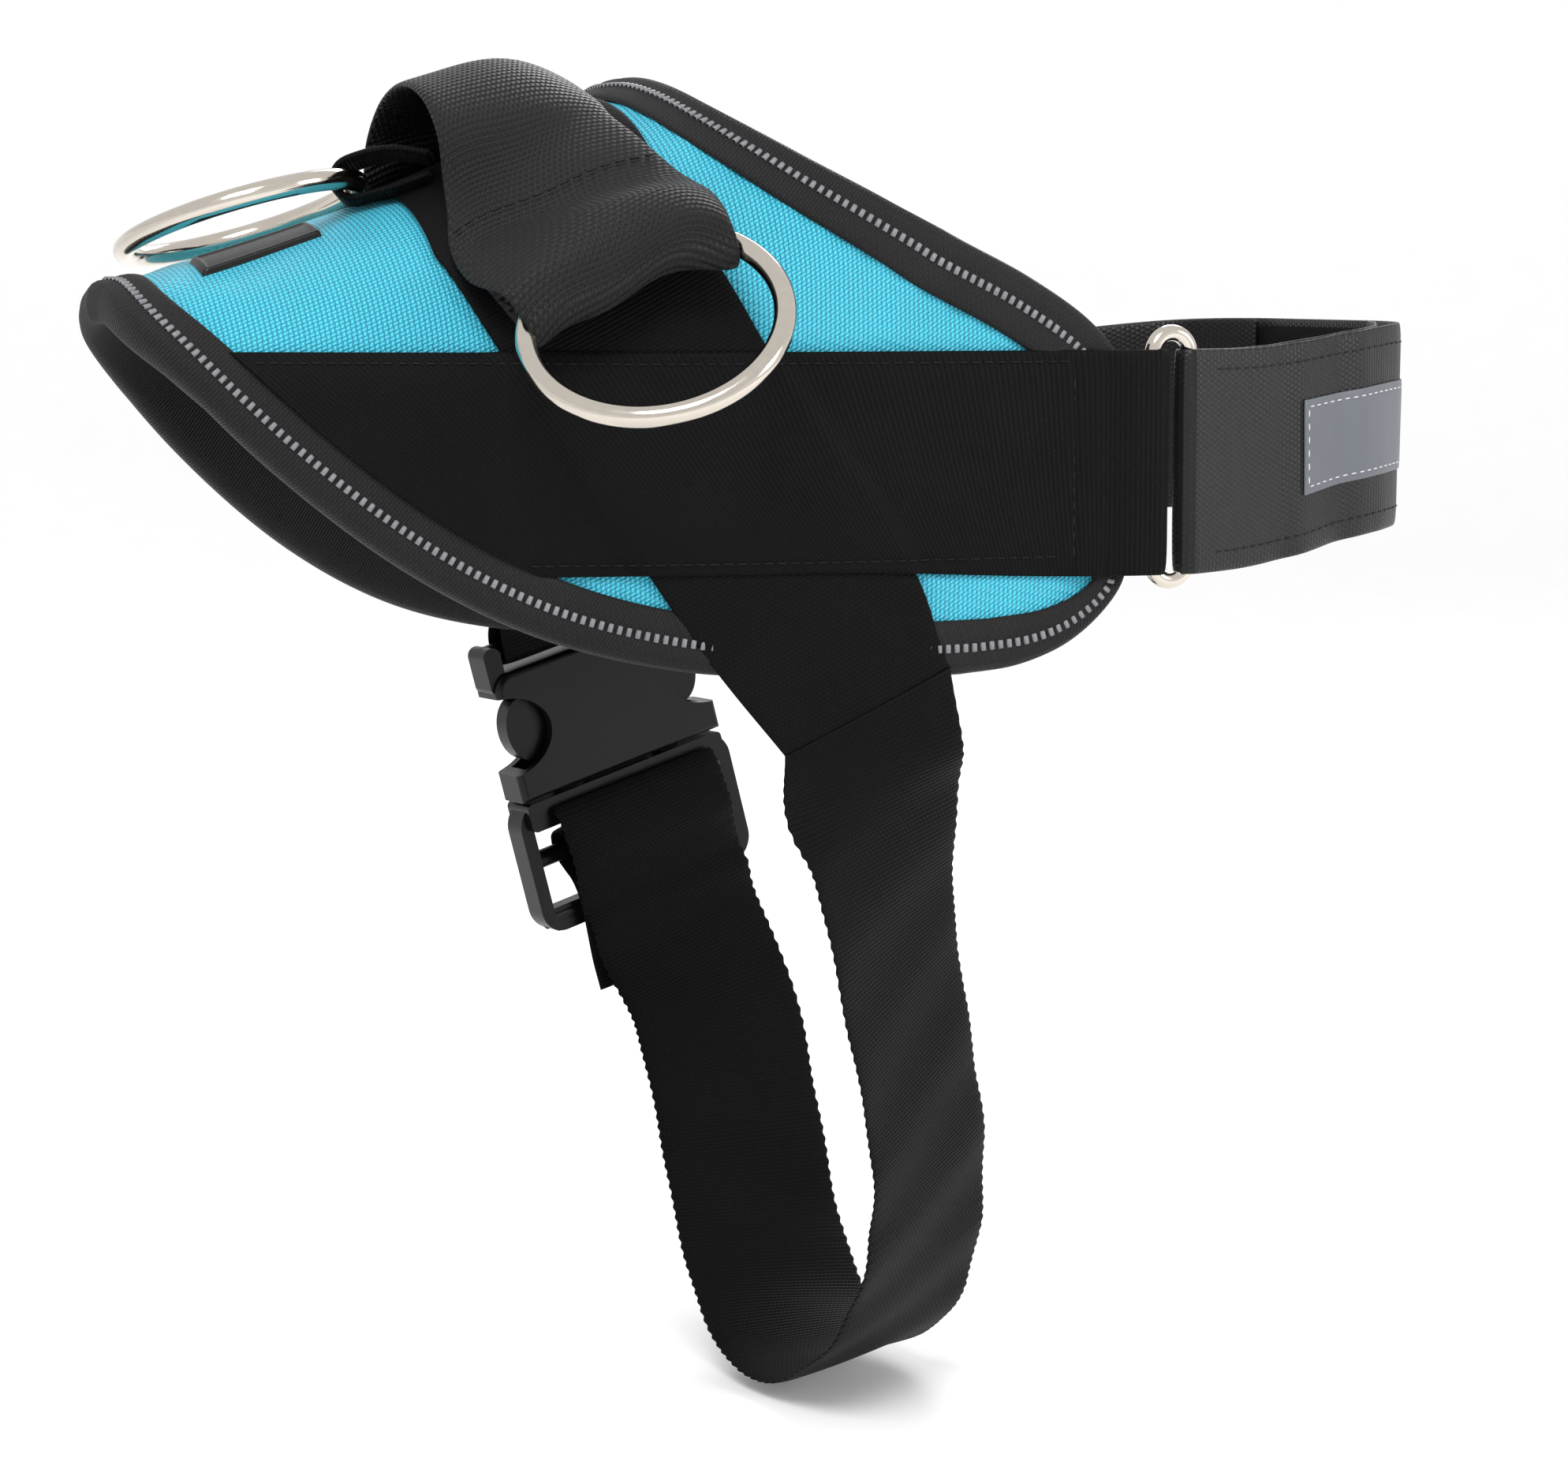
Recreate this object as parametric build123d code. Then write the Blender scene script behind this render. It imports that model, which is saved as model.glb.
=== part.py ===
from build123d import *
import math
import os

# No pull dog harness, in millimetres.
# +X points to the dog's head, +Y to its left and +Z up.
# The origin is where the dog's back touches the lining, on the spine below the handle.

# ------------------------------------------------------------------ driving dimensions
WEBBING = 50.0              # width of the side bands, girth, belly and chest straps
WEB_T = 1.4                 # thickness of that webbing
FIT = 0.3                   # clearance between a strap and the metal that it turns round
SADDLE_T = 8.0              # cover, padding and lining together
COVER_T = 1.0
LINING_T = 1.0
BINDING_W = 10.5            # visible width of the binding on each face
BINDING_T = 0.9
SKIRT_Z = -135.0            # the guiding barrel ends below every flap

BAND_MID_Z = -60.0          # middle of the side bands, front links and chest strap
BAND_REAR_X = -72.0
BAND_T = 2 * WEB_T          # the side band is a doubled webbing

HANDLE_T = 2.6
RING_WIRE = 5.0             # wire of the side rings and leash ring
SIDE_RING_R = 28.5          # centre line radius of the side rings
LEASH_RING_R = 28.0

LINK_X = 147.0              # centre of the front links
LINK_HALF = 4.8             # half the distance between a link's two bars
LINK_BAR = 48.0             # straight length of a bar
LINK_WIRE = 3.8

CHEST_T = 1.5
CHEST_LEAN = 21.0           # the strap leaves each link this far inward, in degrees
CHEST_STRAIGHT = 62.0
CHEST_BEND_R = 38.0
HOOK_T = 1.0

# Directions of the side release buckle: across, out of the flap and down along it.
BUCKLE_TOP = Vector(60.0, 79.8, -105.4)
BUCKLE_YAW = math.radians(9.0)
BUCKLE_LEAN = math.radians(15.5)
FEMALE_W = 62.0
FEMALE_T = 12.0
MALE_W = 66.0
TONGUE_T = 5.2
STRAP_OFFSET = 4.0          # the strap sits this far forward of the ladder's middle
PRONG_Q = 15.5
PRONG_P = 44.5


# ------------------------------------------------------------------ the saddle's surface
def half_width(x):
    return 58.0 + 0.258 * x - 0.00083 * x * x


def arch_height(x):
    return 0.87 * half_width(x)


def spine_height(x):
    return 8.0 + 0.43 * x + 0.0012 * x * x


def barrel(depth):
    """The space inside the saddle's outer surface, shrunk by depth. Its legs hang straight down."""
    sections = []
    for x in (-105.0, -65.0, -25.0, 20.0, 65.0, 110.0, 160.0):
        a = half_width(x) - depth
        b = arch_height(x) - depth
        shoulder = spine_height(x) - arch_height(x)
        plane = Plane(origin=(x, 0, 0), x_dir=(0, 1, 0), z_dir=(1, 0, 0))
        arch = EllipticalCenterArc((0, shoulder), a, b, 0, arc_size=180)
        left = Line((-a, shoulder), (-a, SKIRT_Z))
        base = Line((-a, SKIRT_Z), (a, SKIRT_Z))
        right = Line((a, SKIRT_Z), (a, shoulder))
        sections.append(plane * make_face([arch, left, base, right]))
    return loft(sections)


def layer(outer, inner):
    """The shell between two depths under the outer surface. A negative depth lies outside it."""
    return barrel(outer) - barrel(inner)


def through(profile, side=0):
    """A side-view profile drawn in X and Z, extended across the dog, or to one side only."""
    if side == 0:
        return extrude(Pos(0, 140, 0) * (Plane.XZ * profile), 280, dir=(0, -1, 0))
    return extrude(Plane.XZ * profile, 140, dir=(0, side, 0))


def curve(points, start, end):
    """A smooth curve through points that leaves along start and arrives along end."""
    return Spline(points, tangents=[start, end], tangent_scalars=(1, 1))


def saddle_edges():
    """Side view of the saddle out to the binding's edge, drawn from the tail downward."""
    rear = Line((-88.5, 60), (-88.5, -14))
    belly = curve(
        [(-88.5, -14), (-86, -26), (-78.5, -37.5), (-57.5, -60.5), (-28.5, -84), (0, -99), (31, -107), (62, -109.3)],
        (0, -1), (1, 0),
    )
    hem = Line((62, -109.3), (110, -109.3))
    corner = curve([(110, -109.3), (129.5, -103.5), (138, -88)], (1, 0), (0, 1))
    front = Line((138, -88), (138, -46))
    neck = curve(
        [(138, -46), (131.5, -26.5), (112.4, -14.2), (93.3, -6.2), (75.7, 2.1), (61.2, 11), (49.6, 20.7), (40.5, 36)],
        (0, 1), (0, 1),
    )
    up = Line((40.5, 36), (40.5, 60))
    return [rear, belly, hem, corner, front, neck, up]


def saddle_profile(inset=0.0):
    """The saddle's side view, moved inward from its edge. It runs on above the spine."""
    edges = []
    for edge in saddle_edges():
        steps = 1 if edge.geom_type == GeomType.LINE else 24
        points, tangents = [], []
        for i in range(steps + 1):
            tangent = edge % (i / steps)
            points.append(edge @ (i / steps) + Vector(-tangent.Y, tangent.X) * inset)
            tangents.append(tangent)
        if steps == 1:
            edges.append(Line(*points))
        else:
            edges.append(curve(points, tangents[0], tangents[-1]))
    edges.append(Line(edges[-1] @ 1, edges[0] @ 0))
    return make_face(edges)


def girth_profile(lower_left, lower_right):
    """Side view of the girth webbing: over the spine, then down and forward on each flap."""
    rear = curve([(-19, -14), (-10, -34), (23, -86), lower_left], (0, -1), (0.57, -0.82))
    foot = Line(lower_left, lower_right)
    fore = curve([lower_right, (84, -86), (49, -34), (32, -2)], (-0.25, 0.97), (0, 1))
    return make_face([
        rear, foot, fore,
        Line((32, -2), (32, 60)), Line((32, 60), (-19, 60)), Line((-19, 60), (-19, -14)),
    ])


def rectangle(x0, z0, x1, z1):
    return make_face(Polyline((x0, z0), (x1, z0), (x1, z1), (x0, z1), close=True))


# ------------------------------------------------------------------ small helpers
def ribbon_face(path, thickness):
    """A flat band of even thickness along a list of points in one plane."""
    count = len(path)
    left, right = [], []
    for i, (x, y) in enumerate(path):
        x0, y0 = path[max(i - 1, 0)]
        x1, y1 = path[min(i + 1, count - 1)]
        length = math.hypot(x1 - x0, y1 - y0)
        nx, ny = -(y1 - y0) / length, (x1 - x0) / length
        left.append((x + nx * thickness / 2, y + ny * thickness / 2))
        right.append((x - nx * thickness / 2, y - ny * thickness / 2))
    return make_face(Polyline(*left, *reversed(right), close=True))


def arc_points(cx, cy, radius, start, end, count):
    """Points on an arc from start to end, in degrees."""
    angles = [math.radians(start + (end - start) * i / count) for i in range(count + 1)]
    return [(cx + radius * math.cos(a), cy + radius * math.sin(a)) for a in angles]


def ring(radius, wire, centre, normal):
    plane = Plane(origin=centre, z_dir=normal)
    return plane * Torus(radius, wire / 2)


def mirrored(solid):
    return mirror(solid, about=Plane.XZ)


def tunnel_profile(half_gap, length, thickness):
    """Section of a webbing tunnel: a long loop with a round fold, its slot left open inside."""
    outer = make_hull(
        (Circle(half_gap + thickness).edges() + (Pos(length, 0) * Circle(half_gap + thickness)).edges())
    )
    inner = make_hull((Circle(half_gap).edges() + (Pos(length, 0) * Circle(half_gap)).edges()))
    return outer - inner


# ------------------------------------------------------------------ saddle
def make_saddle():
    body = through(saddle_profile(1.0))
    lining_top = SADDLE_T - LINING_T
    parts = {
        "saddle_cover": layer(0, COVER_T) & body,
        "saddle_padding": layer(COVER_T, lining_top) & body,
        "saddle_lining": layer(lining_top, SADDLE_T) & body,
    }
    rim = through(saddle_profile()) - through(saddle_profile(BINDING_W))
    binding = layer(-BINDING_T, SADDLE_T + BINDING_T) & rim
    parts["edge_binding"] = binding - (layer(0, SADDLE_T) & body)
    dashes = through(saddle_profile(4.6)) - through(saddle_profile(5.8))
    parts["edge_piping"] = layer(-BINDING_T - 0.35, -BINDING_T) & dashes
    return parts


def make_girth():
    """Girth webbing: to the crease on the right, to the buckle's loop on the left."""
    right = through(girth_profile((51, -126), (94, -118)), side=-1)
    left = through(girth_profile((37, -106.5), (91, -106.5)), side=1)
    return layer(-WEB_T, 0) & (right + left)


def band_box():
    half = WEBBING / 2
    return rectangle(BAND_REAR_X, BAND_MID_Z - half, 139.0, BAND_MID_Z + half)


def link_y():
    """Distance of the front links from the dog's middle plane."""
    return half_width(LINK_X - LINK_HALF) + WEB_T + 0.05


def make_side_band():
    """Right side band, sewn on the flap and folded round the rear bar of its link."""
    outline = band_box() & (saddle_profile(BINDING_W) + rectangle(60, -140, 150, 60))
    flat = layer(-WEB_T - BAND_T / 2, -0.05) & through(outline, side=-1)
    centre = (LINK_X - LINK_HALF, -link_y())
    bar_r = LINK_WIRE / 2 + FIT
    tab = Pos(centre[0] - 3.8, centre[1]) * Rectangle(0.4, BAND_T)
    outer = make_hull((Pos(*centre) * Circle(bar_r + WEB_T)).edges() + tab.edges())
    slot = Pos(centre[0] - 2.4, centre[1]) * Circle(0.15)
    inner = make_hull((Pos(*centre) * Circle(bar_r)).edges() + slot.edges())
    fold = extrude(Pos(0, 0, BAND_MID_Z - WEBBING / 2) * (outer - inner), WEBBING)
    return flat + fold


def make_front_link():
    """Right front link: an oval wire ring standing in a plane along the dog."""
    wire = LINK_WIRE / 2
    bars = [Pos(side * LINK_HALF, 0, 0) * Cylinder(wire, LINK_BAR) for side in (-1, 1)]
    loop = Rot(90, 0, 0) * Torus(LINK_HALF, wire)
    half_space = Pos(0, 0, 10) * Box(20, 20, 20)
    cap = loop & half_space
    top = Pos(0, 0, LINK_BAR / 2) * cap
    bottom = Pos(0, 0, -LINK_BAR / 2) * (Rot(180, 0, 0) * cap)
    return Pos(LINK_X, -link_y(), BAND_MID_Z) * (bars[0] + bars[1] + top + bottom)


# ------------------------------------------------------------------ handle and rings
RING_RIGHT_CENTRE = Vector(16.0, -84.0, -28.0)
RING_RIGHT_AXIS = Vector(0.908, -0.383, 0.173)      # along the fold that the ring hangs in
RING_RIGHT_UP = Vector(0.173, 0.716, 0.677)         # from the ring's centre to its top
LEASH_CENTRE = Vector(-50.0, 7.0, -4.8)
LEASH_NORMAL = Vector(-0.223, 0.217, 0.950)
LEASH_LONG = Vector(0.887, -0.359, 0.290)


def make_handle():
    """Grab handle: an arch over the spine that runs down both flaps on the girth webbing."""
    rear = [(-31, -8.5), (-22, -1.2), (-19, 7), (-16, 18), (-9, 24.5), (0, 25.8)]
    fore = [(-33, 15.5), (-25, 20.8), (-20, 25), (-15, 30.5), (-8, 34), (0, 35)]
    faces = []
    for x, half_path in ((-19.0, rear), (31.0, fore)):
        path = half_path + [(-y, z) for y, z in reversed(half_path[:-1])]
        plane = Plane(origin=(x, 0, 0), x_dir=(0, 1, 0), z_dir=(1, 0, 0))
        faces.append(plane * ribbon_face(path, HANDLE_T))
    arch = loft(faces, ruled=True)
    lower = make_face(Polyline((-19, 10), (-19, -4), (-5, -12.5), (44.5, 2.5), (31, 17), (31, 60), (-19, 60), close=True))
    apron = layer(-WEB_T - 0.1 - HANDLE_T, -WEB_T - 0.1) & through(lower)
    tunnel = Box(200, 50, 200)
    arch_outside = arch - barrel(-WEB_T - 0.1)
    return arch_outside + (apron - tunnel)


def make_ring_loop():
    """Right ring loop: the doubled end of the handle webbing, a tunnel for the ring's top arc."""
    plane = Plane(origin=RING_RIGHT_CENTRE, x_dir=RING_RIGHT_UP, z_dir=RING_RIGHT_AXIS)
    half_gap = RING_WIRE / 2 + 0.5
    section = Pos(9.8, 0) * tunnel_profile(half_gap, SIDE_RING_R - 7.3, 2.2)
    return extrude(plane * section, WEBBING / 2, both=True)


def make_leash_tab():
    across = LEASH_LONG.cross(LEASH_NORMAL)
    crown = LEASH_CENTRE + LEASH_LONG * LEASH_RING_R
    plane = Plane(origin=crown, x_dir=LEASH_LONG, z_dir=across)
    section = Pos(-2.0, 0) * tunnel_profile(RING_WIRE / 2 + 0.5, 5.0, 1.2)
    return extrude(plane * section, 10, both=True)


def make_label():
    outline = make_face(Polyline((-66, 60), (-66, -40), (-38, -40), (-38, 60), close=True))
    window = Pos(-52, -10, 0) * Box(60, 11, 200)
    return layer(-1.8, -0.05) & through(outline) & window


# ------------------------------------------------------------------ chest strap
def chest_path(shift):
    """Plan of the chest strap's middle line, moved outward by shift, from right to left."""
    lean = math.radians(CHEST_LEAN)
    start_x = LINK_X + LINK_HALF + shift * math.sin(lean)
    start_y = -link_y() - shift * math.cos(lean)
    bend_x = start_x + CHEST_STRAIGHT * math.cos(lean)
    bend_y = start_y + CHEST_STRAIGHT * math.sin(lean)
    radius = CHEST_BEND_R + shift
    cx = bend_x - radius * math.sin(lean)
    cy = bend_y + radius * math.cos(lean)
    bend = arc_points(cx, cy, radius, CHEST_LEAN - 90, 0, 12)
    return (start_x, start_y), bend


def chest_band(shift, thickness, skip, mirrored_end=True):
    """A band in the chest strap's plan. skip is how far from the link it starts."""
    start, bend = chest_path(shift)
    lean = math.radians(CHEST_LEAN)
    first = (start[0] + skip * math.cos(lean), start[1] + skip * math.sin(lean))
    half = [first] + bend
    if not mirrored_end:
        return ribbon_face(half, thickness)
    return ribbon_face(half + [(x, -y) for x, y in reversed(half)], thickness)


def chest_extrude(face, width):
    return extrude(Pos(0, 0, BAND_MID_Z - width / 2) * face, width)


def chest_fold():
    """Plan of the fold round the right link's front bar, closing into the two layers."""
    bar_r = LINK_WIRE / 2 + FIT
    outer_r = bar_r + CHEST_T
    lean = CHEST_LEAN
    tail = Pos(13.0, outer_r - CHEST_T - 0.55) * Rectangle(1.0, CHEST_T)
    main = Pos(13.0, -outer_r + CHEST_T / 2) * Rectangle(1.0, CHEST_T)
    outer = make_hull(Circle(outer_r).edges() + tail.edges() + main.edges())
    inner_tail = Pos(14.5, outer_r - 2 * CHEST_T - 0.3) * Circle(0.1)
    inner_main = Pos(14.5, -outer_r + CHEST_T + 0.1) * Circle(0.1)
    inner = make_hull(Circle(bar_r).edges() + inner_tail.edges() + inner_main.edges())
    place = Pos(LINK_X + LINK_HALF, -link_y()) * Rot(0, 0, lean)
    return place * (outer - inner)


def make_chest():
    """Chest webbing, its two returned tails, their hook tapes, the loop tape and the patch."""
    bar_r = LINK_WIRE / 2 + FIT
    main_shift = bar_r + CHEST_T / 2
    tail_shift = main_shift - CHEST_T - 2 * HOOK_T - 0.2
    main = chest_band(main_shift, CHEST_T, 12.6)
    tail = chest_band(tail_shift, CHEST_T, 12.6, mirrored_end=False)
    fold = chest_fold()
    flat = main + fold + tail
    both = flat + mirror(fold, about=Plane.XZ) + mirror(tail, about=Plane.XZ)
    loop_shift = main_shift - CHEST_T / 2 - HOOK_T / 2
    hook_shift = loop_shift - HOOK_T - 0.1
    hook = chest_band(hook_shift, HOOK_T - 0.05, 26.0, mirrored_end=False)
    patch_shift = main_shift + CHEST_T / 2 + 0.3
    parts = {
        "chest_webbing": chest_extrude(both, WEBBING),
        "loop_tape": chest_extrude(chest_band(loop_shift, HOOK_T - 0.05, 26.0), WEBBING - 4),
        "hook_tape_right": chest_extrude(hook, WEBBING - 6),
        "reflective_patch": chest_extrude(chest_band(patch_shift, 0.5, CHEST_STRAIGHT - 24), 22.0),
    }
    parts["hook_tape_left"] = mirrored(parts["hook_tape_right"])
    return parts


# ------------------------------------------------------------------ belly strap
def strap_direction(yaw, tilt):
    yaw, tilt = math.radians(yaw), math.radians(tilt)
    return Vector(math.cos(tilt) * math.cos(yaw), math.cos(tilt) * math.sin(yaw), math.sin(tilt))


# Middle of the belly strap, and the yaw and tilt of its width, from the crease to the ladder.
BELLY_STATIONS = [
    ((72.6, -73.2, -123.6), -7.5, 10.2),
    ((75.2, -72.0, -133.5), 6.0, 3.0),
    ((78.5, -70.0, -146.0), 22.0, -2.5),
    ((84.0, -65.0, -173.0), 32.0, -6.5),
    ((90.0, -60.0, -193.5), 34.0, -8.0),
    ((96.2, -54.0, -214.0), 36.0, -8.5),
    ((101.4, -46.0, -235.0), 36.0, -8.0),
    ((104.0, -35.0, -257.0), 34.0, -5.0),
    ((104.0, -21.0, -275.0), 28.0, 0.0),
    ((102.5, -4.0, -287.0), 20.0, 3.5),
    ((101.0, 12.0, -291.0), 14.0, 4.0),
    ((100.3, 27.5, -287.5), 10.0, 1.5),
    ((100.2, 41.0, -279.0), 8.0, -1.5),
    ((100.0, 54.0, -262.0), 7.5, -4.0),
    ((99.0, 64.5, -236.0), 7.5, -3.0),
    ((95.5, 71.5, -210.0), 7.5, 2.0),
]


def buckle_point(q, n, p):
    across, out, down = buckle_axes()
    return BUCKLE_TOP + across * q + out * n + down * p


def buckle_axes():
    """Unit vectors of the buckle: across it, out of the flap, and down along it."""
    cy, sy = math.cos(BUCKLE_YAW), math.sin(BUCKLE_YAW)
    cl, sl = math.cos(BUCKLE_LEAN), math.sin(BUCKLE_LEAN)
    across = Vector(cl * cy, cl * sy, sl)
    out = Vector(-sy, cy, 0)
    down = Vector(sl * cy, sl * sy, -cl)
    return across, out, down


def make_belly():
    """Belly strap from the crease to just below the ladder, where its adjuster loop goes on."""
    stations = [(Vector(*c), strap_direction(yaw, tilt)) for c, yaw, tilt in BELLY_STATIONS]
    across = buckle_axes()[0]
    stations.append((buckle_point(STRAP_OFFSET, -5.6, 89), across))
    sections = []
    for i, (centre, width) in enumerate(stations):
        before = stations[max(i - 1, 0)][0]
        after = stations[min(i + 1, len(stations) - 1)][0]
        along = (after - before).normalized()
        width = (width - along * width.dot(along)).normalized()
        plane = Plane(origin=centre, x_dir=width, z_dir=along)
        sections.append(plane * Rectangle(WEBBING, WEB_T))
    return loft(sections, ruled=True)


def side_plane():
    """Plane across the buckle: local x is down along the buckle and local y out of the flap."""
    across, out, down = buckle_axes()
    return Plane(origin=BUCKLE_TOP, x_dir=down, z_dir=down.cross(out))


def face_plane():
    """Plane of the buckle's face: local x is across the buckle and local y down along it."""
    across, out, down = buckle_axes()
    return Plane(origin=BUCKLE_TOP, x_dir=across, z_dir=across.cross(down))


def plate(profile, half):
    return extrude(face_plane() * profile, half, both=True)


def cross_bar(p, n, radius, half_length):
    return extrude(side_plane() * (Pos(p, n) * Circle(radius)), half_length, both=True)


def strap_extrude(profile):
    """A strap's side section given its full width, moved forward in the ladder."""
    across = buckle_axes()[0]
    solid = extrude(side_plane() * profile, WEBBING / 2, both=True)
    return Pos(across * STRAP_OFFSET) * solid


def make_adjuster_tail():
    """The strap's run over the ladder: up over the middle bar, back through and down as a tail."""
    up = [(88, -5.6), (81, -6.2), (74.5, -6.2), (68, -7.2), (61, -7.6), (56.5, -6.6), (54.2, -4.4)]
    over = [(53.9, -1.6), (54.9, 1.4), (57.2, 3.3), (59.8, 3.4)]
    back = [(62.2, 2.2), (64.4, 0), (67.0, -2.4), (71.0, -3.9), (75.5, -4.1), (82.0, -3.8), (96.0, -2.2), (112, -1.0)]
    return strap_extrude(ribbon_face(up + over + back, WEB_T))


def make_female_loop():
    """Short strap from the left flap, folded round the bar of the female buckle."""
    inner = [(-13, -8.2), (-7, -6.6), (-2.5, -4.1), (0, -3.4)]
    turn = arc_points(2.6, 0, 3.4, -90, 90, 10)
    outer = [(0, 3.4), (-3.5, 1.6), (-7.5, -3.6), (-13, -6.6)]
    profile = ribbon_face(inner + turn + outer, WEB_T)
    solid = extrude(side_plane() * profile, WEBBING / 2, both=True)
    return solid - barrel(-WEB_T - 0.05)


def make_buckle_female():
    """Female half: a flat socket with two side windows, and a webbing bar at its top."""
    half_w, half_t = FEMALE_W / 2, FEMALE_T / 2
    shell = Pos(0, 24.8) * RectangleRounded(FEMALE_W, 34.4, 5.0)
    collar = Pos(0, 37.0) * Rectangle(FEMALE_W, 10.0)
    body = plate(shell + collar, half_t)
    body = fillet(body.edges().group_by(Axis(tuple(BUCKLE_TOP), tuple(buckle_axes()[1])))[-1], 1.6)
    body = fillet(body.edges().group_by(Axis(tuple(BUCKLE_TOP), tuple(buckle_axes()[1])))[0], 1.6)
    cavity = plate(Pos(0, 29.0) * Rectangle(FEMALE_W - 7.0, 30.0), 3.6)
    body -= cavity
    for side in (-1, 1):
        window = Pos(side * (half_w + 1.5), 24.0) * Ellipse(14.5, 10.5)
        body -= plate(window, half_t + 1)
    lugs = plate(Pos(-half_w + 2.0, 6.6) * RectangleRounded(5.0, 12.6, 2.4), 4.2)
    lugs += plate(Pos(half_w - 2.0, 6.6) * RectangleRounded(5.0, 12.6, 2.4), 4.2)
    bar = cross_bar(2.6, 0, 2.4, half_w - 1.0)
    return body + lugs + bar


def make_buckle_male():
    """Male half: guide plate, base and a round-cornered ladder: two rails, two round bars."""
    guide = plate(Pos(0, 30.0) * RectangleRounded(18.0, 30.0, 3.0), TONGUE_T / 2)
    base = plate(Pos(0, 46.6) * RectangleRounded(FEMALE_W - 1.0, 7.6, 1.5), 5.6)
    outline = Pos(0, 61.0) * RectangleRounded(MALE_W, 36.0, 7.0)
    rails = outline - Pos(0, 65.4) * Rectangle(MALE_W - 7.4, 30.0)
    end = outline & Pos(0, 75.7) * Rectangle(MALE_W, 6.8)
    bars = cross_bar(59.0, 0, 2.4, MALE_W / 2 - 2.0) + cross_bar(74.9, 0, 2.6, MALE_W / 2 - 2.0)
    male = base + guide + plate(rails, 3.6) + plate(end, 2.2) + bars
    for side in (-1, 1):
        socket = Pos(side * PRONG_Q, PRONG_P) * Circle(2.8)
        mouth = Pos(side * PRONG_Q, PRONG_P - 3.0) * Rectangle(6.6, 6.0)
        male -= plate(socket + mouth, TONGUE_T / 2 + 0.15)
    return male


def make_prong(side):
    """A sprung prong: a curved arm that ends in the lobe seen through the side window."""
    root = Pos(side * PRONG_Q, PRONG_P) * Circle(2.5)
    arm = make_hull(
        (Pos(side * PRONG_Q, PRONG_P - 4) * Circle(2.4)).edges()
        + (Pos(side * 20.5, 27.0) * Circle(2.2)).edges()
    )
    stem = make_hull(root.edges() + (Pos(side * PRONG_Q, PRONG_P - 4) * Circle(2.4)).edges())
    lobe = Pos(side * 23.2, 24.0) * Ellipse(6.2, 8.6)
    return plate(root + stem + arm + lobe, TONGUE_T / 2)


# ------------------------------------------------------------------ assembly
def build():
    parts = make_saddle()
    girth = make_girth()
    band = make_side_band()
    parts["girth_webbing"] = girth
    parts["side_band_right"] = band - girth
    parts["side_band_left"] = mirrored(band) - girth
    straps = [girth, parts["side_band_right"], parts["side_band_left"]]
    for name in ("edge_binding", "edge_piping"):
        for strap in straps:
            parts[name] = parts[name] - strap
    parts["front_link_right"] = make_front_link()
    parts["front_link_left"] = mirrored(parts["front_link_right"])

    handle = make_handle()
    near_surface = barrel(-WEB_T - 0.1)
    normal = RING_RIGHT_UP.cross(RING_RIGHT_AXIS)
    parts["handle_webbing"] = handle
    parts["side_ring_right"] = ring(SIDE_RING_R, RING_WIRE, RING_RIGHT_CENTRE, normal)
    parts["side_ring_left"] = mirrored(parts["side_ring_right"])
    parts["ring_loop_right"] = make_ring_loop() - near_surface - handle
    parts["ring_loop_left"] = mirrored(make_ring_loop()) - near_surface - handle
    parts["leash_ring"] = ring(LEASH_RING_R, RING_WIRE, LEASH_CENTRE, LEASH_NORMAL)
    parts["leash_ring_tab"] = make_leash_tab() - near_surface - handle
    parts["rubber_label"] = make_label()

    parts.update(make_chest())
    parts["belly_webbing"] = make_belly()
    parts["adjuster_tail"] = make_adjuster_tail()
    parts["female_loop"] = make_female_loop()
    parts["buckle_female"] = make_buckle_female()
    parts["buckle_male"] = make_buckle_male()
    parts["prong_front"] = make_prong(1)
    parts["prong_rear"] = make_prong(-1)
    return parts


os.makedirs("parts", exist_ok=True)
for name, solid in build().items():
    export_step(solid, f"parts/{name}.step")
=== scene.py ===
import math

import bmesh
import bpy
import numpy as np
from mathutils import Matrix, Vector


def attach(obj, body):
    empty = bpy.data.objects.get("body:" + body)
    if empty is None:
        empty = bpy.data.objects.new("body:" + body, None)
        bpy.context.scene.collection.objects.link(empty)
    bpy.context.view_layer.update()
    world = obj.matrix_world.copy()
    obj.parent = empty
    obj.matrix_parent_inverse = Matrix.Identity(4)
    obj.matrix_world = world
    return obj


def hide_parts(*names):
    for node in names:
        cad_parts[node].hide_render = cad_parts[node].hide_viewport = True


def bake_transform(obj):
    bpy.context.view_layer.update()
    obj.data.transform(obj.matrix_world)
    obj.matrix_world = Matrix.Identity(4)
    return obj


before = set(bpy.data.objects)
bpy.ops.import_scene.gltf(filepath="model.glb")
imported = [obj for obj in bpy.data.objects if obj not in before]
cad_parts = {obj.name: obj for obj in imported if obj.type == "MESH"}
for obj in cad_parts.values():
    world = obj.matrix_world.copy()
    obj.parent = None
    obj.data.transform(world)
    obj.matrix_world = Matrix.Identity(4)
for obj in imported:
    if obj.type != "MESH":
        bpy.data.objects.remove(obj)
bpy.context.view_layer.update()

# The whole script works in millimetres and scales each mesh to metres when it is made.
MM = 0.001

WEBBING = 50.0
BAND_Z = -60.0
LINK_X, LINK_HALF = 147.0, 4.8
LEAN = math.radians(21.0)


# ------------------------------------------------------------------ the saddle's surface
def half_width(x):
    return 58.0 + 0.258 * x - 0.00083 * x * x


def spine_height(x):
    return 8.0 + 0.43 * x + 0.0012 * x * x


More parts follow.
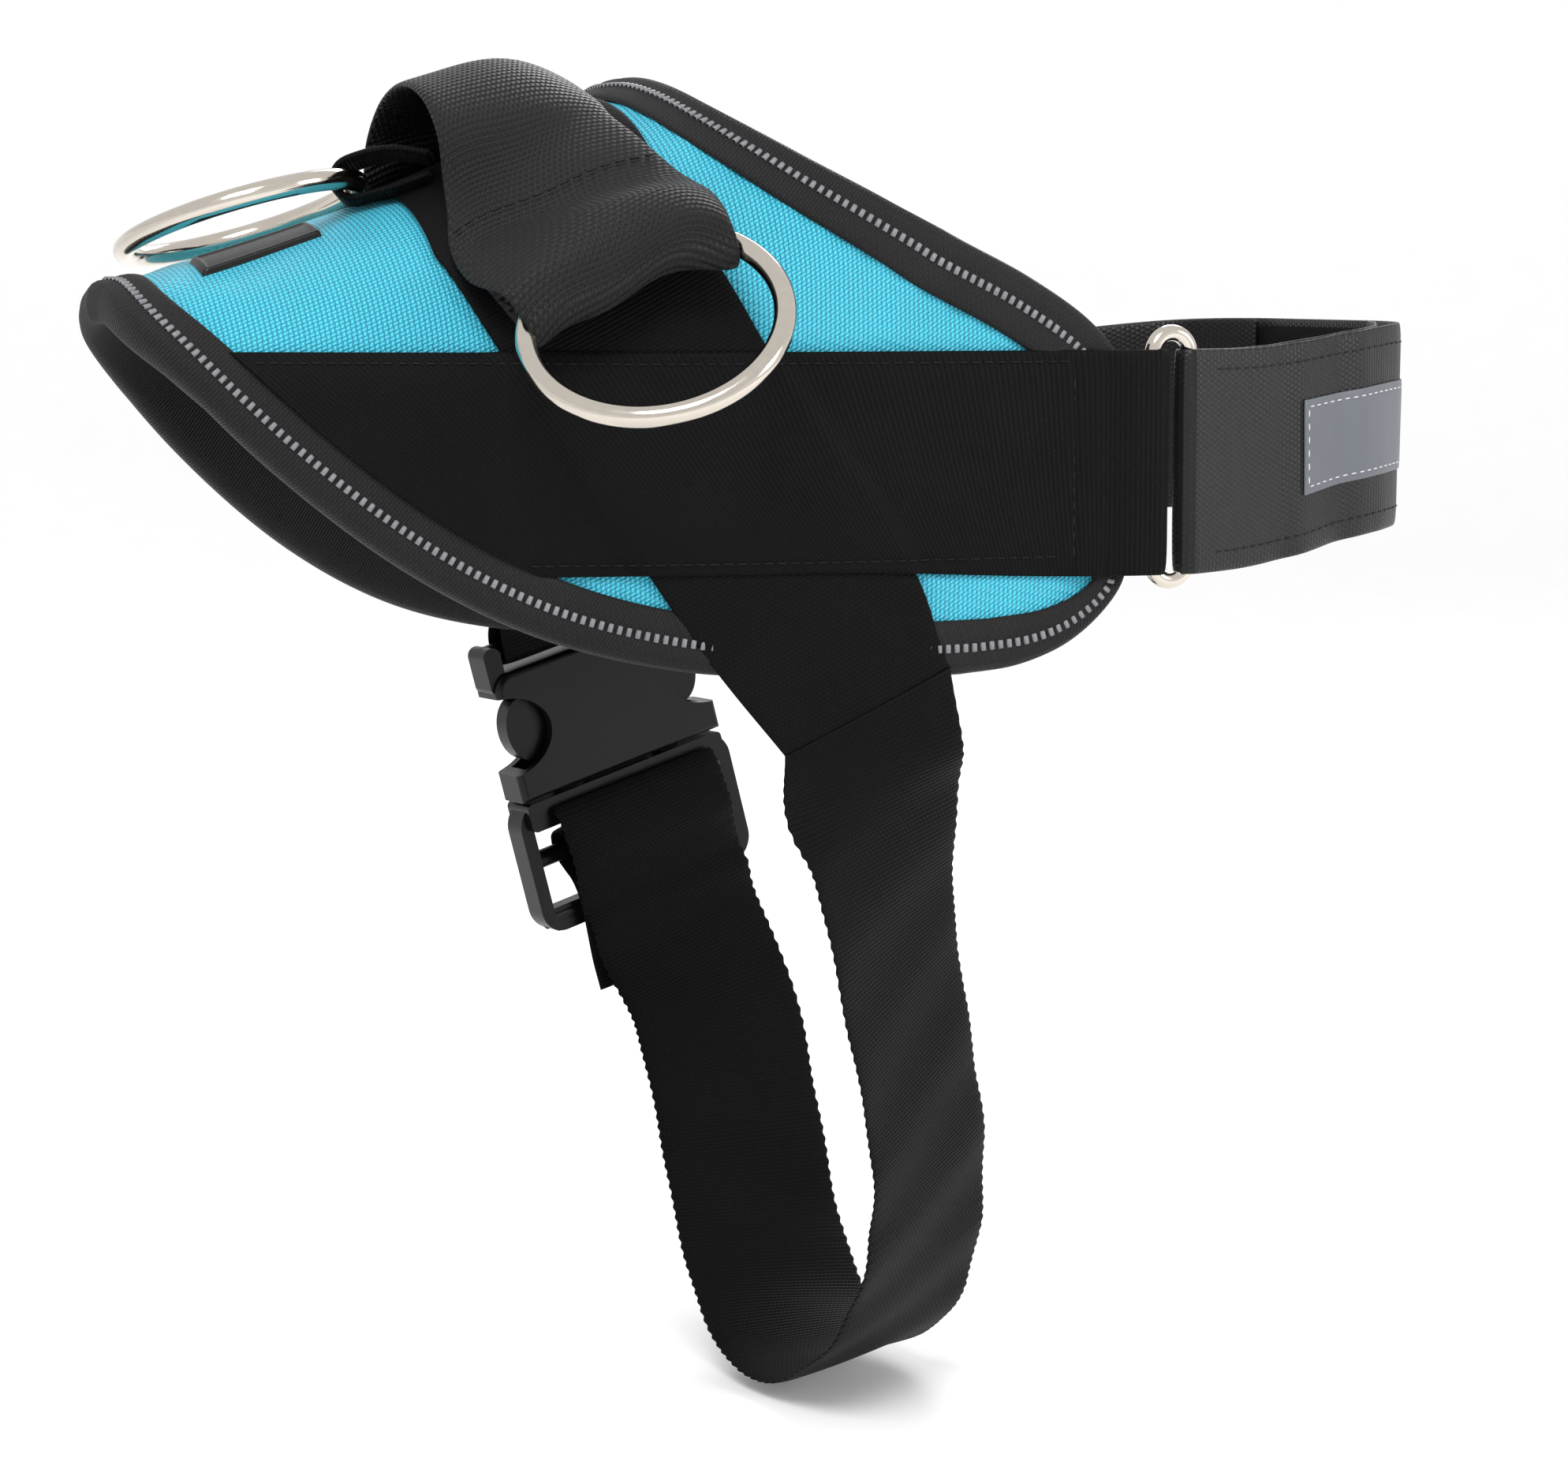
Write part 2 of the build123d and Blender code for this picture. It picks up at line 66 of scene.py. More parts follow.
def quarter(x):
    """Length of the section's arch from the spine to the shoulder."""
    a, b = half_width(x), 0.87 * half_width(x)
    return math.pi / 4 * (3 * (a + b) - np.sqrt((3 * a + b) * (a + 3 * b)))


def on_saddle(x, s, height):
    """Point at s along the section from the spine (left positive), raised by height."""
    x, s, height = np.broadcast_arrays(np.asarray(x, float), s, height)
    a, b = half_width(x), 0.87 * half_width(x)
    q = quarter(x)
    angle = np.clip(np.abs(s) / q, 0, 1) * math.pi / 2
    y = (a + height) * np.sin(angle) * np.sign(s)
    z = spine_height(x) - b + (b + height) * np.cos(angle) - np.maximum(np.abs(s) - q, 0)
    return np.stack([x, y, z], axis=-1)


def s_at(x, z):
    """Distance along the section at which it reaches height z."""
    b = 0.87 * half_width(x)
    shoulder = spine_height(x) - b
    angle = np.arccos(np.clip((z - shoulder) / b, -1, 1))
    return np.minimum(angle, math.pi / 2) / (math.pi / 2) * quarter(x) + np.maximum(shoulder - z, 0)


def smooth(points, count):
    """Points spread evenly along a centripetal Catmull-Rom curve through the given ones."""
    p = np.asarray(points, float)
    p = np.vstack([2 * p[0] - p[1], p, 2 * p[-1] - p[-2]])
    knots = np.concatenate([[0], np.cumsum(np.sqrt(np.linalg.norm(np.diff(p, axis=0), axis=1)) + 1e-9)])
    out = []
    for i in range(1, len(p) - 2):
        t0, t1, t2, t3 = knots[i - 1:i + 3]
        t = np.linspace(t1, t2, 40, endpoint=False)[:, None]
        a1 = (t1 - t) / (t1 - t0) * p[i - 1] + (t - t0) / (t1 - t0) * p[i]
        a2 = (t2 - t) / (t2 - t1) * p[i] + (t - t1) / (t2 - t1) * p[i + 1]
        a3 = (t3 - t) / (t3 - t2) * p[i + 1] + (t - t2) / (t3 - t2) * p[i + 2]
        b1 = (t2 - t) / (t2 - t0) * a1 + (t - t0) / (t2 - t0) * a2
        b2 = (t3 - t) / (t3 - t1) * a2 + (t - t1) / (t3 - t1) * a3
        out.append((t2 - t) / (t2 - t1) * b1 + (t - t1) / (t2 - t1) * b2)
    return spread(np.vstack(out + [p[-2:-1]]), count)


def spread(points, count):
    """The same polyline with count points at even distances."""
    points = np.asarray(points, float)
    run = np.concatenate([[0], np.cumsum(np.linalg.norm(np.diff(points, axis=0), axis=1))])
    at = np.linspace(0, run[-1], count)
    return np.stack([np.interp(at, run, points[:, k]) for k in range(points.shape[1])], axis=-1)


def ramp(value, low, high):
    t = np.clip((np.asarray(value, float) - low) / (high - low), 0, 1)
    return t * t * (3 - 2 * t)


def ripple(x, s, seed):
    """Slow uneven swell of a padded fabric, between about -1 and 1."""
    rng = np.random.default_rng(seed)
    total = 0.0
    for _ in range(7):
        angle, phase = rng.uniform(0, math.pi), rng.uniform(0, 2 * math.pi)
        pitch = rng.uniform(14, 46)
        total = total + np.sin(2 * math.pi * (x * math.cos(angle) + s * math.sin(angle)) / pitch + phase)
    return total / 4.0


# ------------------------------------------------------------------ meshes
def add_mesh(name, grid, uv, material):
    """A smooth surface through a grid of points, with texture coordinates in millimetres."""
    rows, cols = grid.shape[:2]
    index = np.arange(rows * cols).reshape(rows, cols)
    quads = np.stack([index[:-1, :-1], index[:-1, 1:], index[1:, 1:], index[1:, :-1]],
                     axis=-1).reshape(-1, 4)
    mesh = bpy.data.meshes.new(name)
    mesh.from_pydata((grid.reshape(-1, 3) * MM).tolist(), [], quads.tolist())
    layer = mesh.uv_layers.new(name="UVMap")
    layer.data.foreach_set("uv", uv.reshape(-1, 2)[quads.reshape(-1)].astype(np.float32).reshape(-1))
    weld(mesh)
    mesh.materials.append(material)
    piece = bpy.data.objects.new(name, mesh)
    bpy.context.scene.collection.objects.link(piece)
    return piece


def weld(mesh):
    """Joins coincident points and turns every face outward."""
    work = bmesh.new()
    work.from_mesh(mesh)
    bmesh.ops.remove_doubles(work, verts=work.verts, dist=2e-6)
    bmesh.ops.recalc_face_normals(work, faces=work.faces)
    work.to_mesh(mesh)
    work.free()
    mesh.polygons.foreach_set("use_smooth", [True] * len(mesh.polygons))


def normals(grid):
    along = np.gradient(grid, axis=0)
    across = np.gradient(grid, axis=1)
    n = np.cross(along, across)
    return n / (np.linalg.norm(n, axis=-1, keepdims=True) + 1e-12)


def columns(count):
    """Positions across a strap, closer together towards its edges."""
    return 0.5 - 0.5 * np.cos(np.linspace(0, math.pi, count))


def strap(name, mid, thickness, material, width=WEBBING):
    """A closed band with rounded edges along a grid of middle points, one row after another."""
    w = columns(mid.shape[1])
    half = thickness / 2 * np.sqrt(np.maximum(1 - np.abs(2 * w - 1) ** 10, 0.0))
    offset = normals(mid) * half[None, :, None]
    loop = np.concatenate([mid + offset, (mid - offset)[:, ::-1], (mid + offset)[:, :1]], axis=1)
    flat = np.concatenate([mid, mid[:, ::-1], mid[:, :1]], axis=1)
    loop = np.concatenate([flat[:1], loop, flat[-1:]], axis=0)
    middle = mid[:, mid.shape[1] // 2]
    run = np.concatenate([[0], np.cumsum(np.linalg.norm(np.diff(middle, axis=0), axis=1))])
    run = np.concatenate([[run[0]], run, [run[-1]]])
    v = np.concatenate([w, w[::-1], w[:1]]) * width
    uv = np.stack(np.broadcast_arrays(run[:, None], v[None, :]), axis=-1)
    return add_mesh(name, loop, uv, material)


def stitches(name, line, material, length=2.4, gap=1.1, radius=0.2, lift=None):
    """A row of thread stitches along a line of points, each one a small rounded bead."""
    line = np.asarray(line, float)
    run = np.concatenate([[0], np.cumsum(np.linalg.norm(np.diff(line, axis=0), axis=1))])
    count = max(int(run[-1] / (length + gap)), 1)
    verts, faces = [], []
    for i in range(count):
        at = (i + 0.5) * run[-1] / count
        ends = [np.array([np.interp(at + d, run, line[:, k]) for k in range(3)])
                for d in (-length / 2, length / 2)]
        centre, along = (ends[0] + ends[1]) / 2, ends[1] - ends[0]
        along = along / (np.linalg.norm(along) + 1e-9)
        side = np.cross(along, lift if lift is not None else (0.3, 0.5, 0.8))
        side = side / (np.linalg.norm(side) + 1e-9)
        up = np.cross(side, along)
        base = len(verts)
        for t, r in ((-0.5, 0.25), (-0.38, 0.8), (0, 1.0), (0.38, 0.8), (0.5, 0.25)):
            for k in range(6):
                a = k * math.pi / 3
                verts.append((centre + along * t * length
                              + (side * math.cos(a) + up * math.sin(a)) * radius * r) * MM)
        for ringed in range(4):
            for k in range(6):
                p, q = base + ringed * 6 + k, base + ringed * 6 + (k + 1) % 6
                faces.append((p, q, q + 6, p + 6))
        faces.append(tuple(range(base + 5, base - 1, -1)))
        faces.append(tuple(range(base + 24, base + 30)))
    mesh = bpy.data.meshes.new(name)
    mesh.from_pydata([tuple(v) for v in verts], [], faces)
    mesh.polygons.foreach_set("use_smooth", [True] * len(mesh.polygons))
    mesh.materials.append(material)
    piece = bpy.data.objects.new(name, mesh)
    bpy.context.scene.collection.objects.link(piece)
    return piece


def declare(piece, body, slot, *nodes):
    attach(piece, body)
    if nodes:
        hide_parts(*nodes)
    return piece


# ------------------------------------------------------------------ materials
class Look:
    """A procedural material. Numbers and sockets mix freely in its math."""

    def __init__(self, name, rough, **constants):
        self.material = bpy.data.materials.new(name)
        self.material.use_nodes = True
        self.tree = self.material.node_tree
        self.shader = self.tree.nodes["Principled BSDF"]
        self.shader.inputs["Roughness"].default_value = rough
        for key, value in constants.items():
            self.shader.inputs[key.replace("_", " ")].default_value = value

    def node(self, kind, **links):
        made = self.tree.nodes.new(kind)
        for key, value in links.items():
            self.put(made.inputs[key], value)
        return made

    def put(self, socket, value):
        if isinstance(value, bpy.types.NodeSocket):
            self.tree.links.new(value, socket)
        else:
            socket.default_value = value

    def math(self, operation, a, b=0.0):
        made = self.tree.nodes.new("ShaderNodeMath")
        made.operation = operation
        self.put(made.inputs[0], a)
        self.put(made.inputs[1], b)
        return made.outputs[0]

    def uv(self):
        split = self.node("ShaderNodeSeparateXYZ", Vector=self.node("ShaderNodeUVMap").outputs["UV"])
        return split.outputs["X"], split.outputs["Y"]

    def wave(self, value, pitch, shift=0.0):
        """A sine between 0 and 1."""
        turn = self.math("MULTIPLY", value, 2 * math.pi / pitch)
        sine = self.math("SINE", self.math("ADD", turn, shift))
        return self.math("MULTIPLY", self.math("ADD", sine, 1.0), 0.5)

    def noise(self, scale, detail=3.0):
        place = self.node("ShaderNodeNewGeometry").outputs["Position"]
        made = self.node("ShaderNodeTexNoise", Vector=place, Scale=scale, Detail=detail)
        return made.outputs["Fac"]

    def colour(self, factor, low, high):
        made = self.tree.nodes.new("ShaderNodeMix")
        made.data_type = "RGBA"
        self.put(made.inputs["Factor"], factor)
        made.inputs["A"].default_value = (*low, 1)
        made.inputs["B"].default_value = (*high, 1)
        self.tree.links.new(made.outputs["Result"], self.shader.inputs["Base Color"])
        return made

    def bump(self, height, distance, strength=1.0):
        made = self.node("ShaderNodeBump", Height=height, Distance=distance * MM, Strength=strength)
        self.tree.links.new(made.outputs["Normal"], self.shader.inputs["Normal"])


def blend3(look, a, b, c, wa, wb, wc):
    total = look.math("ADD", look.math("MULTIPLY", a, wa), look.math("MULTIPLY", b, wb))
    return look.math("ADD", total, look.math("MULTIPLY", c, wc))


def woven(name, low, high, pitch_u, pitch_v, depth, rough, sheen=0.25, cells=0.35, shine=0.1):
    """Webbing: ribs across the length, broken into small cells by the warp yarns."""
    look = Look(name, rough, Sheen_Weight=sheen, Sheen_Roughness=0.45, Specular_IOR_Level=shine)
    u, v = look.uv()
    row = look.math("FLOOR", look.math("DIVIDE", u, pitch_u))
    odd = look.math("MULTIPLY", look.math("MODULO", row, 2.0), math.pi)
    rib = look.wave(u, pitch_u, -math.pi / 2)
    turn = look.math("ADD", look.math("MULTIPLY", v, 2 * math.pi / pitch_v), odd)
    cell = look.math("MULTIPLY", look.math("ADD", look.math("SINE", turn), 1.0), 0.5)
    weave = look.math("ADD", look.math("MULTIPLY", rib, 1 - cells), look.math("MULTIPLY", cell, cells))
    # The colour follows the height of the ribs and cells: painted shade in the dips between them and a
    # painted highlight on their raised tops, mixed with random changes of tone.
    tone = blend3(look, weave, look.noise(45.0), look.noise(1400.0, 1.0), 0.55, 0.35, 0.25)
    look.colour(tone, low, high)
    look.bump(weave, depth)
    return look.material


def basket(name, low, high, pitch, depth, rough):
    """Plain woven nylon: square cells that go over and under in turn."""
    look = Look(name, rough, Sheen_Weight=0.08, Sheen_Roughness=0.35, Specular_IOR_Level=0.4)
    u, v = look.uv()
    over = look.wave(u, pitch * 2, 0.0)
    under = look.wave(v, pitch * 2, 0.0)
    a = look.math("MULTIPLY", look.math("SUBTRACT", over, 0.5), look.math("SUBTRACT", under, 0.5))
    sign = look.math("GREATER_THAN", a, 0.0)
    across = look.math("ABSOLUTE", look.math("SINE", look.math("MULTIPLY", u, math.pi / pitch)))
    along = look.math("ABSOLUTE", look.math("SINE", look.math("MULTIPLY", v, math.pi / pitch)))
    height = look.math("ADD", look.math("MULTIPLY", across, sign),
                       look.math("MULTIPLY", along, look.math("SUBTRACT", 1.0, sign)))
    edge = look.math("MULTIPLY", across, along)
    weave = look.math("ADD", look.math("MULTIPLY", height, 0.55), look.math("MULTIPLY", edge, 0.45))
    # The colour follows the weave's height: painted shade in the grooves and along the cell borders, and a
    # painted highlight on the raised yarns, mixed with slow random changes of tone.
    tone = blend3(look, weave, look.noise(30.0), look.noise(900.0, 1.0), 0.75, 0.25, 0.12)
    look.colour(tone, low, high)
    look.bump(weave, depth)
    return look.material


def plain(name, low, high, rough, grain, depth, **constants):
    """A moulded, cast or felted surface with a fine grain and slow changes of tone."""
    look = Look(name, rough, **constants)
    fine = look.noise(grain, 4.0)
    tone = look.math("ADD", look.math("MULTIPLY", look.noise(40.0), 0.6), look.math("MULTIPLY", fine, 0.4))
    look.colour(tone, low, high)
    spread_rough = look.math("ADD", look.math("MULTIPLY", fine, 0.12), rough - 0.06)
    look.tree.links.new(spread_rough, look.shader.inputs["Roughness"])
    look.bump(fine, depth)
    return look.material


COVER = basket("cover_nylon", (0.0, 0.075, 0.125), (0.062, 0.60, 0.80), 1.1, 0.36, 0.42)
LINING = plain("lining_knit", (0.002, 0.002, 0.002), (0.007, 0.007, 0.0075), 0.85, 1500, 0.15,
               Specular_IOR_Level=0.08)
BINDING = woven("binding_grosgrain", (0.0008, 0.0008, 0.0008), (0.019, 0.018, 0.019), pitch_u=1.0,
                pitch_v=1.5, depth=0.3, rough=0.6, sheen=0.02, cells=0.25, shine=0.16)
BLACK = woven("fine_webbing", (0.0008, 0.0008, 0.0008), (0.0062, 0.0060, 0.0063), pitch_u=1.0, pitch_v=1.2,
              depth=0.16, rough=0.55, sheen=0.01, cells=0.35, shine=0.05)
BAND = woven("band_webbing", (0.0008, 0.0008, 0.0008), (0.0066, 0.0065, 0.0067), pitch_u=1.2, pitch_v=0.9,
             depth=0.14, rough=0.55, sheen=0.01, cells=0.25, shine=0.05)
HEAVY = woven("heavy_webbing", (0.0006, 0.0006, 0.0006), (0.0125, 0.012, 0.0124), pitch_u=1.7, pitch_v=1.5,
              depth=0.5, rough=0.45, sheen=0.02, cells=0.4, shine=0.16)
SATIN = woven("satin_webbing", (0.0006, 0.0006, 0.0006), (0.008, 0.008, 0.0083), pitch_u=1.3, pitch_v=1.3,
              depth=0.14, rough=0.4, sheen=0.0, cells=0.5, shine=0.26)
FUZZ = plain("loop_pile", (0.002, 0.002, 0.002), (0.010, 0.010, 0.0105), 0.9, 2600, 0.5,
             Specular_IOR_Level=0.1)
THREAD = plain("dark_thread", (0.002, 0.002, 0.002), (0.010, 0.010, 0.011), 0.5, 2600, 0.05,
               Specular_IOR_Level=0.2)
WHITE_THREAD = plain("pale_thread", (0.42, 0.43, 0.43), (0.60, 0.61, 0.61), 0.6, 2600, 0.05)
DASH = plain("reflective_yarn", (0.10, 0.10, 0.11), (0.22, 0.22, 0.24), 0.4, 3000, 0.06, Sheen_Weight=0.05)
PATCH = plain("reflective_fabric", (0.085, 0.092, 0.108), (0.125, 0.132, 0.15), 0.38, 3500, 0.04,
              Specular_IOR_Level=0.3)
NICKEL = plain("polished_nickel", (0.52, 0.47, 0.41), (0.66, 0.61, 0.54), 0.13, 400, 0.01, Metallic=1.0)
PLASTIC = plain("buckle_plastic", (0.0016, 0.0016, 0.0017), (0.0036, 0.0036, 0.0038), 0.32, 1800, 0.03,
                Specular_IOR_Level=0.22)
RUBBER = plain("label_rubber", (0.002, 0.002, 0.002), (0.007, 0.007, 0.0075), 0.3, 900, 0.03,
               Specular_IOR_Level=0.25)


# ------------------------------------------------------------------ saddle
def saddle_outline():
    """The saddle's whole edge in section coordinates (x, s), anticlockwise from the tail's spine."""
    belly = smooth([(-88.5, -14), (-86, -26), (-78.5, -37.5), (-57.5, -60.5), (-28.5, -84), (0, -99),
                    (31, -107), (62, -109.3)], 160)
    corner = smooth([(96, -109.3), (110, -107.6), (121, -103.6), (130, -97), (136, -89.5), (138.2, -82)],
                    60)
    neck = smooth([(138.2, -44), (135, -36), (127.5, -28), (112.4, -18.2), (93.3, -8.6), (75.7, 1.4),
                   (61.2, 10.8),
                   (49.6, 20.7), (43.5, 29)], 130)
    side = np.vstack([[(-88.5, -30 + 0.0)], belly, corner, neck])[1:]
    x, z = side[:, 0], side[:, 1]
    s = s_at(x, z)
    keep = z < spine_height(x) - 0.35
    half = np.stack([x[keep], s[keep]], axis=-1)
    half = np.vstack([[(-88.5, 0.0)], half, [(half[-1, 0] - 1.2, 0.0)]])
    half = smooth_ends(spread(half, 620))
    left = half
    right = half[::-1] * np.array([1, -1])
    return np.vstack([left, right[1:]])


def smooth_ends(line):
    """Keeps the first and last points on the spine."""
    line = line.copy()
    line[0, 1] = line[-1, 1] = 0.0
    return line


OUTLINE = saddle_outline()


def inset_line(amount):
    """The outline moved inward."""
    ahead = np.roll(OUTLINE[:-1], -2, axis=0)
    behind = np.roll(OUTLINE[:-1], 2, axis=0)
    along = ahead - behind
    along = along / (np.linalg.norm(along, axis=1, keepdims=True) + 1e-9)
    inward = np.stack([along[:, 1], -along[:, 0]], axis=-1)
    moved = OUTLINE[:-1] + inward * amount
    return np.vstack([moved, moved[:1]])


def band_mask(x, z):
    """1 where the side bands lie, 0 elsewhere."""
    return ramp(z, -89, -84) * (1 - ramp(z, -36, -31)) * ramp(x, -74, -68)


GIRTH_REAR = [(-19, 0.0), (-19, -14), (-10, -34), (23, -86), (37, -106.5), (53, -126.5)]
GIRTH_FORE = [(32, 0.0), (32, -2), (49, -34), (84, -86), (89, -99), (92, -107)]


def girth_edges(count, last):
    """The girth webbing's two edges in (x, s) on one side, from the spine to point number last."""
    lines = []
    for edge in (GIRTH_REAR[:last], GIRTH_FORE[:last]):
        path = smooth(edge[1:], 200)
        s = s_at(path[:, 0], path[:, 1])
        top = np.stack([np.full(20, path[0, 0]), np.linspace(0, s[0], 20, endpoint=False)], axis=-1)
        lines.append(spread(np.vstack([top, np.stack([path[:, 0], s], axis=-1)]), count))
    return lines


def girth_mask(x, s):
    """1 on the girth webbing, falling to 0 just outside it."""
    rear, fore = girth_edges(120, 6)
    distance = np.abs(s)
    low = np.interp(distance, rear[:, 1], rear[:, 0])
    high = np.interp(distance, fore[:, 1], fore[:, 0])
    return ramp(x, low - 3.0, low + 1.0) * (1 - ramp(x, high - 1.0, high + 3.0))


def saddle_columns(count):
    """Sampled outline as upper and lower limits of s at each x, for one flap."""
    half = inset_line(2.4)[:620]
    front = int(np.argmax(half[:, 0]))
    lower, upper = half[:front + 1], half[front:]
    xs = np.concatenate([np.linspace(-86.0, -79, 14), np.linspace(-78.4, 126, count),
                         np.linspace(126.4, 135.5, 24)])
    high = np.interp(xs, lower[:, 0], lower[:, 1])
    neck = upper[::-1]
    low = np.where(xs <= neck[0, 0], 0.0, np.interp(xs, neck[:, 0], neck[:, 1]))
    return xs, low, high


def distance_to_outline(x, s):
    """Distance in (x, s) to the saddle's edge."""
    edge = OUTLINE[::5]
    flat = np.stack([x.ravel(), np.abs(s).ravel()], axis=-1)
    best = np.full(len(flat), 1e9)
    for point in edge[edge[:, 1] > -3]:
        best = np.minimum(best, ((flat - point) ** 2).sum(axis=1))
    return np.sqrt(best).reshape(x.shape)


def make_panel(name, depth, material, padded):
    """One skin of the saddle over both flaps."""
    xs, low, high = saddle_columns(300)
    t = np.linspace(0, 1, 150)[None, :]
    pieces = []
    for side in (1, -1):
        s = (low[:, None] + (high - low)[:, None] * t)
        x = np.repeat(xs[:, None], t.shape[1], axis=1)
        height = np.full(s.shape, -depth)
        if padded:
            edge = distance_to_outline(x, s)
            z = on_saddle(x, s, 0)[..., 2]
            covered = np.maximum(band_mask(x, z), girth_mask(x, s))
            swell = ramp(edge, 9, 22) * (1 - covered)
            pucker = np.exp(-np.maximum(edge - 10, 0) / 7) * np.sin((x + s) / 2.6) * 0.16
            crease = np.exp(-((x - 62 + 0.25 * s) / 2.6) ** 2) * ramp(s, 4, 14) * (1 - ramp(s, 34, 48)) * 1.2
            crease += np.exp(-((x - 88 + 0.35 * s) / 2.2) ** 2) * (1 - ramp(s, 44, 58)) * 0.9
            height = height - 0.55 + 0.75 * swell + (0.28 * ripple(x, s, 3)
                                                     + pucker) * (1 - covered) - crease * swell
        grid = on_saddle(x, s * side, height)
        pieces.append(add_mesh(f"{name}_{'left' if side > 0 else 'right'}", grid, np.stack([x, s], axis=-1),
                               material))
    return pieces


def strip(name, path, material):
    """A band round the saddle's edge. path is (inset, height) across it."""
    lines = [inset_line(inset) for inset, _ in path]
    rows = np.stack([on_saddle(line[:, 0], line[:, 1], height) for line, (_, height) in zip(lines, path)],
                    axis=1)
    run = np.concatenate([[0], np.cumsum(np.linalg.norm(np.diff(OUTLINE, axis=0), axis=1))])
    across = np.concatenate([[0], np.cumsum(np.linalg.norm(np.diff(np.array(path), axis=0), axis=1))])
    uv = np.stack(np.broadcast_arrays(run[:, None], across[None, :]), axis=-1)
    return add_mesh(name, rows, uv, material)


def make_dashes(name, points):
    """Short reflective bars woven across the middle of the binding, each one a little pillow."""
    run = np.concatenate([[0], np.cumsum(np.linalg.norm(np.diff(points, axis=0), axis=1))])
    count = int(run[-1] / 2.15)
    at = (np.arange(count) + 0.5) * run[-1] / count
    pick = np.stack([np.interp(at, run, points[:, k]) for k in range(3)], axis=-1)
    ahead = np.stack([np.interp(at + 0.4, run, points[:, k]) for k in range(3)], axis=-1)
    along = ahead - pick
    along /= np.linalg.norm(along, axis=1, keepdims=True) + 1e-9
    centre = np.stack([pick[:, 0], np.zeros(count),
                       spine_height(pick[:, 0]) - 0.87 * half_width(pick[:, 0])], axis=-1)
    up = pick - centre
    up[:, 2] = np.maximum(up[:, 2], 0)
    up[:, 0] = 0
    up /= np.linalg.norm(up, axis=1, keepdims=True) + 1e-9
    side = np.cross(along, up)
    side /= np.linalg.norm(side, axis=1, keepdims=True) + 1e-9
    up = np.cross(side, along)
    verts, faces = [], []
    ring = [(-0.62, -0.3), (-0.5, 0.32), (0.0, 0.5), (0.5, 0.32), (0.62, -0.3)]
    for i in range(count):
        base = len(verts)
        for b in (-1.0, -0.8, 0.8, 1.0):
            low = 0.3 if abs(b) > 0.9 else 0.0
            for a, h in ring:
                verts.append(tuple((pick[i] + along[i] * a + side[i] * b + up[i] * (h - low)) * MM))
        for r in range(3):
            for k in range(4):
                p = base + r * 5 + k
                faces.append((p, p + 1, p + 6, p + 5))
    mesh = bpy.data.meshes.new(name)
    mesh.from_pydata(verts, [], faces)
    mesh.polygons.foreach_set("use_smooth", [True] * len(faces))
    mesh.materials.append(DASH)
    piece = bpy.data.objects.new(name, mesh)
    bpy.context.scene.collection.objects.link(piece)
    return piece


def make_saddle():
    for piece in make_panel("cover", 0.1, COVER, True):
        declare(piece, "saddle", "blue_nylon", "saddle_cover", "saddle_padding")
    for piece in make_panel("lining", 8.0, LINING, False):
        declare(piece, "saddle", "black_lining", "saddle_lining")
    tape = [(10.5, -0.1), (10.35, 0.55), (9.8, 0.8), (8.0, 0.95), (6.4, 0.85), (5.2, 0.6), (4.0, 0.85),
            (2.8, 0.95), (1.6, 0.6), (0.5, -0.6), (0.0, -2.4), (-0.1, -4.2), (0.1, -6.0), (0.7, -7.6),
            (1.8, -8.6), (3.4, -8.9),
            (7.0, -8.9), (9.8, -8.9), (10.4, -8.6), (10.5, -8.0)]
    declare(strip("binding", tape, BINDING), "saddle", "binding_tape", "edge_binding")
    line = inset_line(5.2)
    height = np.where((line[:, 0] > 118), 0.55, 0.8)
    points = on_saddle(line[:, 0], line[:, 1], height)
    dashes = make_dashes("reflective_dashes", points)
    declare(dashes, "saddle", "reflective_yarn", "edge_piping")


def make_girth():
    left = girth_edges(150, 5)
    right = girth_edges(190, 6)
    w = columns(17)
    rows = []
    for (rear, fore), sign in ((right, -1), (left, 1)):
        x = rear[:, :1] * (1 - w) + fore[:, :1] * w
        s = rear[:, 1:] * (1 - w) + fore[:, 1:] * w
        rows.append(np.stack([x, s * sign], axis=-1))
    flat = np.concatenate([rows[0][::-1], rows[1][1:]], axis=0)
    mid = on_saddle(flat[..., 0], flat[..., 1], 0.75)
    girth = strap("girth_strap", mid, 1.3, BLACK)
    declare(girth, "saddle", "black_webbing", "girth_webbing")


def link_y():
    return half_width(LINK_X - LINK_HALF) + 1.45


def band_rear(z):
    """Where the side band meets the binding at height z."""
    line = inset_line(9.6)
    line = line[(line[:, 1] > 2) & (line[:, 0] < 60)]
    heights = on_saddle(line[:, 0], line[:, 1], 0)[:, 2]
    order = np.argsort(heights)
    return np.interp(z, heights[order], line[order, 0])


